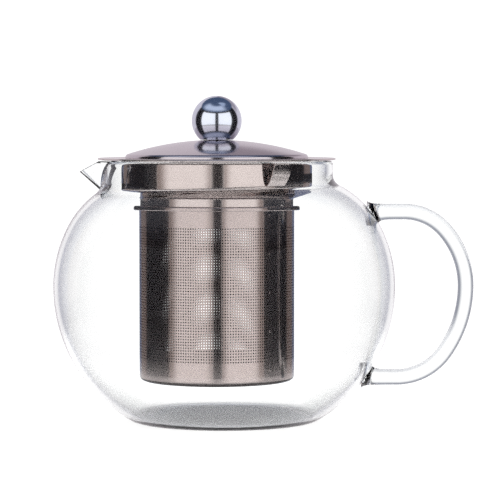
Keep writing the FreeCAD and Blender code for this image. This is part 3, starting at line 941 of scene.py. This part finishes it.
def borosilicate_glass(colours):
    """Blown borosilicate glass: clear and fire-polished, IOR 1.474. Long paths inside it take a grey-green
    tint, which draws the rims, welds and outlines, and the blown wall is very slightly uneven. Its own
    reflections are held back to a fifth of real glass's, so that the steel behind it stays dark and crisp."""
    material, tree, shader, output = new_material("borosilicate_glass", {
        "Base Color": linear("#FFFFFF"), "Roughness": 0.0, "IOR": 1.474, "Transmission Weight": 1.0,
        "Specular Tint": (0.2, 0.2, 0.21, 1.0)})
    place = add_node(tree, "ShaderNodeTexCoord").outputs["Object"]
    waves = add_node(tree, "ShaderNodeTexNoise", {"Vector": place, "Scale": 1 / (30 * MM), "Detail": 0.0})
    bump = add_node(tree, "ShaderNodeBump", {"Height": waves.outputs["Fac"], "Distance": 0.05 * MM,
                                             "Strength": 1.0})
    tree.links.new(bump.outputs[0], shader.inputs["Normal"])
    volume = add_node(tree, "ShaderNodeVolumeAbsorption", {"Color": colours.glass, "Density": 16.0})
    tree.links.new(volume.outputs[0], output.inputs["Volume"])
    return material


CLOUD_WIDTH = 14 * MM
INSIDE_SHADE_EDGE = 0.06 * MM  # over which the painted shade of the inside fades in
HAZE_SHARE = 0.28
HAZE_ROUGHNESS = 0.25


def turned_steel(name, colour, smooth, rough, line_mm, line_depth_mm, grain=0.0, wall=0.0, inside=1.0):
    """Stainless steel polished on a lathe: rings of fine polishing lines, and faint cloudy wipe marks.

    Its grain runs round the axis, so that a reflection is drawn out up and down and stays crisp sideways.
    A part of the light is spread as haze, which softens bright reflections. Closer to the axis than wall
    the colour is painted darker, as shade inside a tube: inside is its share of the outside's colour.
    """
    material, tree, shader, output = new_material(name, {
        "Metallic": 1.0, "Anisotropic": grain, "Anisotropic Rotation": 0.25})
    rings, place = about_axis(tree)
    from_axis = add_node(tree, "ShaderNodeVectorMath", {0: place, 1: (NECK_X, 0, 0)}, operation="SUBTRACT")
    around = add_node(tree, "ShaderNodeVectorMath", {0: (0, 0, 1), 1: from_axis.outputs[0]},
                      operation="CROSS_PRODUCT")
    tree.links.new(around.outputs[0], shader.inputs["Tangent"])
    lines = add_node(tree, "ShaderNodeTexNoise", {"Vector": rings, "Scale": 1 / (line_mm * MM), "Detail": 3.0,
                                                  "Roughness": 0.7})
    clouds = add_node(tree, "ShaderNodeTexNoise", {"Vector": place, "Scale": 1 / CLOUD_WIDTH, "Detail": 3.0})
    mixed = add_node(tree, "ShaderNodeMath", {0: lines.outputs["Fac"], 1: clouds.outputs["Fac"]},
                     operation="MULTIPLY")
    gloss = add_node(tree, "ShaderNodeMapRange", {"Value": mixed.outputs[0], "From Min": 0.1,
                                                  "From Max": 0.42, "To Min": smooth, "To Max": rough})
    tree.links.new(gloss.outputs[0], shader.inputs["Roughness"])
    tone = add_node(tree, "ShaderNodeMapRange", {"Value": clouds.outputs["Fac"], "From Min": 0.3,
                                                 "From Max": 0.7, "To Min": 0.93, "To Max": 1.0})
    # Painted shade: closer to the axis than wall the colour falls to inside's share, darkening the inside of
    # a tube.
    radius = add_node(tree, "ShaderNodeSeparateXYZ", {0: rings}).outputs["X"]
    inside_shade = add_node(tree, "ShaderNodeMapRange", {"Value": radius, "From Min": wall - INSIDE_SHADE_EDGE,
                                                   "From Max": wall, "To Min": inside}).outputs[0]
    shade = add_node(tree, "ShaderNodeMath", {0: tone.outputs[0], 1: inside_shade}, operation="MULTIPLY").outputs[0]
    tinted = add_node(tree, "ShaderNodeVectorMath", {0: tuple(colour)[:3], "Scale": shade}, operation="SCALE")
    tree.links.new(tinted.outputs[0], shader.inputs["Base Color"])
    bump = add_node(tree, "ShaderNodeBump", {"Height": lines.outputs["Fac"], "Distance": line_depth_mm * MM,
                                             "Strength": 1.0})
    tree.links.new(bump.outputs[0], shader.inputs["Normal"])
    haze = add_node(tree, "ShaderNodeBsdfAnisotropic", {"Color": tinted.outputs[0],
                                                        "Roughness": HAZE_ROUGHNESS})
    mix = add_node(tree, "ShaderNodeMixShader", {0: HAZE_SHARE, 1: shader.outputs[0], 2: haze.outputs[0]})
    tree.links.new(mix.outputs[0], output.inputs["Surface"])
    return material


def floor_matt(colours, st):
    """A matt pale light table that thins out into the white studio, so that no horizon shows."""
    material, tree, shader, output = new_material("matt_floor", {
        "Base Color": colours.floor, "Roughness": 0.9, "Emission Color": (1.0, 1.0, 1.0, 1.0),
        "Emission Strength": st.floor_glow})
    place = add_node(tree, "ShaderNodeTexCoord").outputs["Object"]
    distance = add_node(tree, "ShaderNodeVectorMath", {0: place}, operation="LENGTH").outputs["Value"]
    fade = add_node(tree, "ShaderNodeMapRange", {"Value": distance, "From Min": st.fade_start,
                                                 "From Max": st.fade_end, "To Min": st.floor_clear},
                    interpolation_type="SMOOTHSTEP")
    clear = add_node(tree, "ShaderNodeBsdfTransparent")
    mix = add_node(tree, "ShaderNodeMixShader", {0: fade.outputs[0], 1: shader.outputs[0],
                                                 2: clear.outputs[0]})
    tree.links.new(mix.outputs[0], output.inputs["Surface"])
    return material


# Stage

def smooth_between(tree, value, low, high, soft):
    """1 between low and high, 0 outside, with soft edges."""
    slopes = [add_node(tree, "ShaderNodeMapRange", {"Value": value, "From Min": edge - way * soft,
                                                    "From Max": edge + way * soft},
                       interpolation_type="SMOOTHSTEP").outputs[0] for edge, way in ((low, 1), (high, -1))]
    return add_node(tree, "ShaderNodeMath", dict(enumerate(slopes)), operation="MULTIPLY").outputs[0]


def both_sides(left, right, *rest):
    """An area and its mirror image on the other side."""
    return [(left, right, *rest), (-right, -left, *rest)]


# What polished steel mirrors, each painted over the ones before: left and right azimuth from straight in
# front, low and high elevation, softness across and up (all in degrees), colour and brightness.
OPEN_AREAS = [
    *both_sides(114, 200, -40, 46, 5, 1, "#E6DFE6", 1.0),
    (120, 200, 22, 46, 8, 6, "#ACA3AC", 1.0),
    (-74, -6, -17, 34, 3, 2, "#FFFFFF", 1.35),
    (9, 74, -17, 34, 3, 2, "#FFFFFF", 1.35),
    (-200, 200, 40, 95, 20, 2, "#4E5D78", 1.0),
    (-100, 60, 46, 70, 25, 7, "#D3DEF2", 1.0),
    (60, 115, 62, 84, 12, 5, "#B4C2DA", 1.0),
    (-200, 200, -95, -38, 20, 6, "#C9C7CB", 0.9),
]
# The same for steel behind the glass, painted over those: softer boxes with a brown frame, dark side walls.
BEHIND_AREAS = [
    *both_sides(74, 200, -40, 34, 2, 1, "#1C1A1D", 1.0),
    (-74, -6, -17, 34, 2, 2, "#A3958F", 1.0),
    (-64, -9, -15, 32, 8, 2, "#FFFAF8", 1.3),
    (9, 74, -17, 34, 2, 2, "#AB9D97", 1.0),
    (13, 64, -15, 32, 6, 2, "#FFFAF8", 1.3),
    *both_sides(128, 152, -40, 1, 3, 0.6, "#8C7F7B", 1.0),
    *both_sides(151, 200, -40, 1, 3, 0.6, "#7A84A0", 1.0),
]


def studio_world(st):
    """An overexposed white studio. Polished steel mirrors two tall soft boxes in front with a dark gap
    between them, dark side walls, a pale back wall and a blue-grey ceiling.

    It differs by the path of the ray: seen directly and by matt surfaces it is plain white, and the glass
    bends a grey into view except straight ahead along Y, so it suits a view from the front best.
    """
    world = bpy.data.worlds.new("studio")
    bpy.context.scene.world = world
    world.use_nodes = True
    world.cycles.sampling_method = "NONE"
    tree = world.node_tree
    tree.nodes.clear()
    ray = add_node(tree, "ShaderNodeTexCoord").outputs["Generated"]
    parts = add_node(tree, "ShaderNodeSeparateXYZ", {0: ray}).outputs
    front = add_node(tree, "ShaderNodeMath", {0: parts["Y"], 1: -1.0}, operation="MULTIPLY").outputs[0]
    azimuth = add_node(tree, "ShaderNodeMath", {0: parts["X"], 1: front}, operation="ARCTAN2").outputs[0]
    height = add_node(tree, "ShaderNodeMath", {0: parts["Z"]}, operation="ARCSINE").outputs[0]

    def blend(mask, under, over):
        mix = add_node(tree, "ShaderNodeMix", data_type="RGBA")
        for socket, value in ((mix.inputs[0], mask), (mix.inputs[6], under), (mix.inputs[7], over)):
            if isinstance(value, bpy.types.NodeSocket):
                tree.links.new(value, socket)
            else:
                socket.default_value = value
        return mix.outputs[2]

    def scaled(colour, strength):
        return [c * strength for c in tuple(colour)[:3]] + [1.0]

    def painted(under, areas):
        for left, right, low, high, soft, soft_up, code, strength in areas:
            edges = [math.radians(angle) for angle in (left, right, soft, low, high, soft_up)]
            across = smooth_between(tree, azimuth, *edges[:3])
            up = smooth_between(tree, height, *edges[3:])
            mask = add_node(tree, "ShaderNodeMath", {0: across, 1: up}, operation="MULTIPLY").outputs[0]
            under = blend(mask, under, scaled(linear(code), strength))
        return under

    path = add_node(tree, "ShaderNodeLightPath").outputs

    def deeper(depth, times):
        return add_node(tree, "ShaderNodeMath", {0: path[depth], 1: times - 0.5},
                        operation="GREATER_THAN").outputs[0]

    white = scaled([1, 1, 1], st.white)
    ahead = add_node(tree, "ShaderNodeMapRange", {"Value": parts["Y"], "From Min": st.side_edge,
                                                  "From Max": st.white_edge},
                     interpolation_type="SMOOTHSTEP").outputs[0]
    refracted = blend(ahead, scaled(st.side, 1.0), white)
    in_open = painted(scaled(st.dark, 1.0), OPEN_AREAS)
    behind_glass = painted(in_open, BEHIND_AREAS)
    once = blend(deeper("Glossy Depth", 1), white, in_open)
    through = blend(deeper("Glossy Depth", 1), refracted, behind_glass)
    shown = blend(deeper("Transmission Depth", 1), once, refracted)
    shown = blend(deeper("Transmission Depth", 4), shown, through)
    shown = blend(deeper("Diffuse Depth", 1), shown, scaled([1, 1, 1], st.floor_light))
    background = add_node(tree, "ShaderNodeBackground", {"Color": shown, "Strength": 1.0})
    output = add_node(tree, "ShaderNodeOutputWorld")
    tree.links.new(background.outputs[0], output.inputs["Surface"])


# Operators

class TEAPOT_OT_glass(bpy.types.Operator):
    """Makes the fused glass: the blown bowl, the spout with its channel and the welded handle"""
    bl_idname = "teapot.glass"
    bl_label = "Glass pot"

    def execute(self, context):
        s = settings("glass")
        pot = blown_bowl(s)
        rod = handle_rod(s, pot)
        spout = beak(s)
        boolean(pot, spout_wedge(s, "window", channel_move(s)), "DIFFERENCE")
        boolean(pot, spout, "UNION")
        boolean(pot, rod, "UNION")
        finish_mesh(pot, 40)
        deliver(pot, "pot", "borosilicate_glass", borosilicate_glass(settings("colours")),
                "glass_bowl", "pouring_spout", "glass_handle")
        return {"FINISHED"}


class TEAPOT_OT_collar(bpy.types.Operator):
    """Makes the drawn collar that hangs on the rim"""
    bl_idname = "teapot.collar"
    bl_label = "Infuser collar"

    def execute(self, context):
        collar = turned("collar", collar_outline(settings("steel")))
        # Deep-drawn 18/8 sheet, polished bright: crisp stripes with a slight pull along the grain.
        material = turned_steel("polished_steel", settings("colours").steel, 0.03, 0.07, 0.5, 0.0005)
        deliver(collar, "infuser", "polished_steel", material, "infuser_collar")
        return {"FINISHED"}


class TEAPOT_OT_sieve(bpy.types.Operator):
    """Makes the perforated tube: hem, foot, two walls of holes, the plain seam strip and its spot welds"""
    bl_idname = "teapot.sieve"
    bl_label = "Infuser sieve"

    def execute(self, context):
        s, h = settings("steel"), settings("holes")
        # Thin punched sheet, duller than the collar, with painted shade darkening the inside of the tube so
        # that its holes read dark.
        material = turned_steel("perforated_steel", settings("colours").sieve, 0.06, 0.13, 0.4, 0.0005, 0.5,
                                s.sieve_radius - 0.05 * MM, 0.2)
        step = 2 * math.pi / h.columns
        outer, inner = s.sieve_radius, s.sieve_radius - s.sieve_sheet
        strip_start = h.strip_start - math.pi / 2
        strip_end = strip_start + step * h.strip_columns
        holed = h.columns - h.strip_columns
        walls = {"sieve_wall_rear": (strip_end, holed // 2),
                 "sieve_wall_front": (strip_end + step * (holed // 2), holed - holed // 2)}
        tree = hole_wall_tree()
        for name, (start, columns) in walls.items():
            cell = holed_cell(name, outer, inner, step, h.row_pitch, h.hole)
            tree.apply(cell, {"Rows": h.rows, "Columns": columns, "Row Pitch": h.row_pitch,
                              "First Row": h.first_row, "Start Turn": start, "Turn Step": step,
                              "Axis X": NECK_X, "Material": material})
            deliver(close_rims(cell), "infuser", "perforated_steel", material, "infuser_sieve")
        plain = [(inner, holes_low(h)), (outer, holes_low(h)), (outer, holes_high(h)), (inner, holes_high(h))]
        strip = lapped("sieve_seam", plain, strip_start, strip_end, h.strip_columns)
        pieces = [strip, turned("sieve_hem", hem_outline(s), segments=h.columns),
                  turned("sieve_foot", foot_outline(s), segments=h.columns)]
        for piece in pieces:
            deliver(piece, "infuser", "perforated_steel", material, "infuser_sieve")
        weld_column = 1.2
        first = on_circle(outer, strip_start + step * weld_column, SIEVE_LOW + h.weld_first)
        welds = weld_spot("sieve_welds", first, h.weld_radius, h.weld_height)
        weld_tree().apply(welds, {"Count": h.welds, "Pitch": h.weld_pitch, "Material": material})
        finish_mesh(welds)
        deliver(welds, "infuser", "perforated_steel", material)
        return {"FINISHED"}


class TEAPOT_OT_base(bpy.types.Operator):
    """Makes the perforated disc that closes the tube"""
    bl_idname = "teapot.base"
    bl_label = "Infuser base"

    def execute(self, context):
        s, h = settings("steel"), settings("holes")
        low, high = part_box("infuser_base")
        half = s.sieve_sheet / 2
        rim = half_width("infuser_base", 0) - half
        corners = [(rim, high[2] - half), (rim, low[2] + half), (0, low[2] + half)]
        path = dense(rounded_path(corners, [s.foot_bend], 6), 2 * MM)
        disc = turned("base_disc", open_to_axis(sheet_outline(path, s.sieve_sheet, 2)), segments=144)
        cutter = small_round("cutter", h.base_hole / 2, -MM, MM)
        # The same sheet without the tube's finish, left satin by the press.
        material = turned_steel("strainer_steel", settings("colours").sieve, 0.1, 0.22, 0.4, 0.0008)
        hole_disc_tree().apply(disc, {"Cutter": cutter, "Pitch": h.base_pitch, "Reach": rim - h.base_margin,
                                      "Axis X": NECK_X, "Height": low[2] + half, "Material": material})
        bpy.data.objects.remove(cutter)
        finish_mesh(disc)
        deliver(disc, "infuser", "perforated_steel", material, "infuser_base")
        return {"FINISHED"}


class TEAPOT_OT_tabs(bpy.types.Operator):
    """Makes the two spring tabs on the collar"""
    bl_idname = "teapot.tabs"
    bl_label = "Spring tabs"

    def execute(self, context):
        # Hard-rolled strip: smooth, with a faint rolled grain.
        material = turned_steel("spring_steel", settings("colours").steel, 0.06, 0.16, 0.5, 0.0006)
        for side in ("front", "rear"):
            leaf = spring_leaf("tab_" + side, "spring_tab_" + side)
            deliver(leaf, "tab_" + side, "spring_steel", material, "spring_tab_" + side)
        return {"FINISHED"}


class TEAPOT_OT_lid(bpy.types.Operator):
    """Makes the lid's dome and the skirt under it"""
    bl_idname = "teapot.lid"
    bl_label = "Lid"

    def execute(self, context):
        s = settings("steel")
        # Pressed and lathe-polished dome: broad soft reflections and fine rings.
        material = turned_steel("lid_steel", settings("colours").lid, 0.07, 0.16, 0.5, 0.0008)
        deliver(turned("lid_dome", lid_outline(s)), "lid", "lid_steel", material, "lid_cover")
        deliver(turned("lid_ring", skirt_outline(s)), "lid", "lid_steel", material, "lid_skirt")
        return {"FINISHED"}


class TEAPOT_OT_knob(bpy.types.Operator):
    """Makes the hollow ball, and gives the plug, the washer and the screw their steel"""
    bl_idname = "teapot.knob"
    bl_label = "Knob"

    def execute(self, context):
        colours = settings("colours")
        # Mirror-polished hollow ball: reflections stay sharp and almost free of lines.
        material = turned_steel("mirror_steel", colours.ball, 0.015, 0.04, 2.0, 0.0001)
        ball = turned("ball_shell", ball_outline(settings("steel")), segments=128)
        deliver(ball, "lid", "knob_chrome", material, "knob_ball")
        # Machined fixings, bright from the cutting tool.
        fixings = turned_steel("bright_steel", colours.lid, 0.15, 0.3, 0.3, 0.001)
        for node in ("knob_base", "knob_washer", "knob_screw"):
            part = frame["nodes"][node]
            part.data.materials.clear()
            part.data.materials.append(fixings)
        return {"FINISHED"}


class TEAPOT_OT_stage(bpy.types.Operator):
    """Makes the pale floor, the white studio and the camera"""
    bl_idname = "teapot.stage"
    bl_label = "Stage"

    def execute(self, context):
        place = settings("camera_place")
        floor = turned("floor", [(0, -place.floor_drop), (place.floor, -place.floor_drop)], 0, 96)
        floor.data.materials.append(floor_matt(settings("colours"), settings("studio")))
        studio_world(settings("studio"))
        camera = bpy.data.objects.new("camera", bpy.data.cameras.new("camera"))
        context.scene.collection.objects.link(camera)
        camera.location = (place.aside, -place.away, place.height)
        aim = Vector((place.aside, 0, place.look)) - camera.location
        camera.rotation_euler = aim.to_track_quat("-Z", "Y").to_euler()
        camera.data.lens = place.lens
        camera.data.sensor_width = 36  # full frame, in millimetres
        context.scene.camera = camera
        context.scene.view_settings.view_transform = "Standard"
        # A prefilter would wipe out the sieve's fine holes.
        context.scene.cycles.denoising_prefilter = "NONE"
        # Light crosses the glass many times before and after it meets the steel.
        context.scene.cycles.max_bounces = 24
        context.scene.cycles.transmission_bounces = 24
        context.scene.cycles.glossy_bounces = 12
        return {"FINISHED"}


class TEAPOT_PT_panel(bpy.types.Panel):
    """The teapot's pieces in the sidebar"""
    bl_label = "Teapot"
    bl_idname = "TEAPOT_PT_panel"
    bl_space_type = "VIEW_3D"
    bl_region_type = "UI"
    bl_category = "Teapot"

    def draw(self, context):
        for operator in OPERATORS:
            self.layout.operator(operator.bl_idname)


OPERATORS = [TEAPOT_OT_glass, TEAPOT_OT_collar, TEAPOT_OT_sieve, TEAPOT_OT_base, TEAPOT_OT_tabs,
             TEAPOT_OT_lid, TEAPOT_OT_knob, TEAPOT_OT_stage]
GROUPS = {"glass": GlassSizes, "steel": SteelSizes, "holes": SieveHoles, "colours": Colours,
          "leaf": LeafSizes, "studio": StudioLight, "camera_place": CameraPlace}


def register():
    for cls in [*GROUPS.values(), *OPERATORS, TEAPOT_PT_panel]:
        bpy.utils.register_class(cls)
    for name, group in GROUPS.items():
        setattr(bpy.types.Scene, name, PointerProperty(type=group))


def unregister():
    for name in GROUPS:
        delattr(bpy.types.Scene, name)
    for cls in reversed([*GROUPS.values(), *OPERATORS, TEAPOT_PT_panel]):
        bpy.utils.unregister_class(cls)


def main():
    register()
    for operator in OPERATORS:
        group, name = operator.bl_idname.split(".")
        getattr(getattr(bpy.ops, group), name)()


if __name__ == "__main__":
    main()
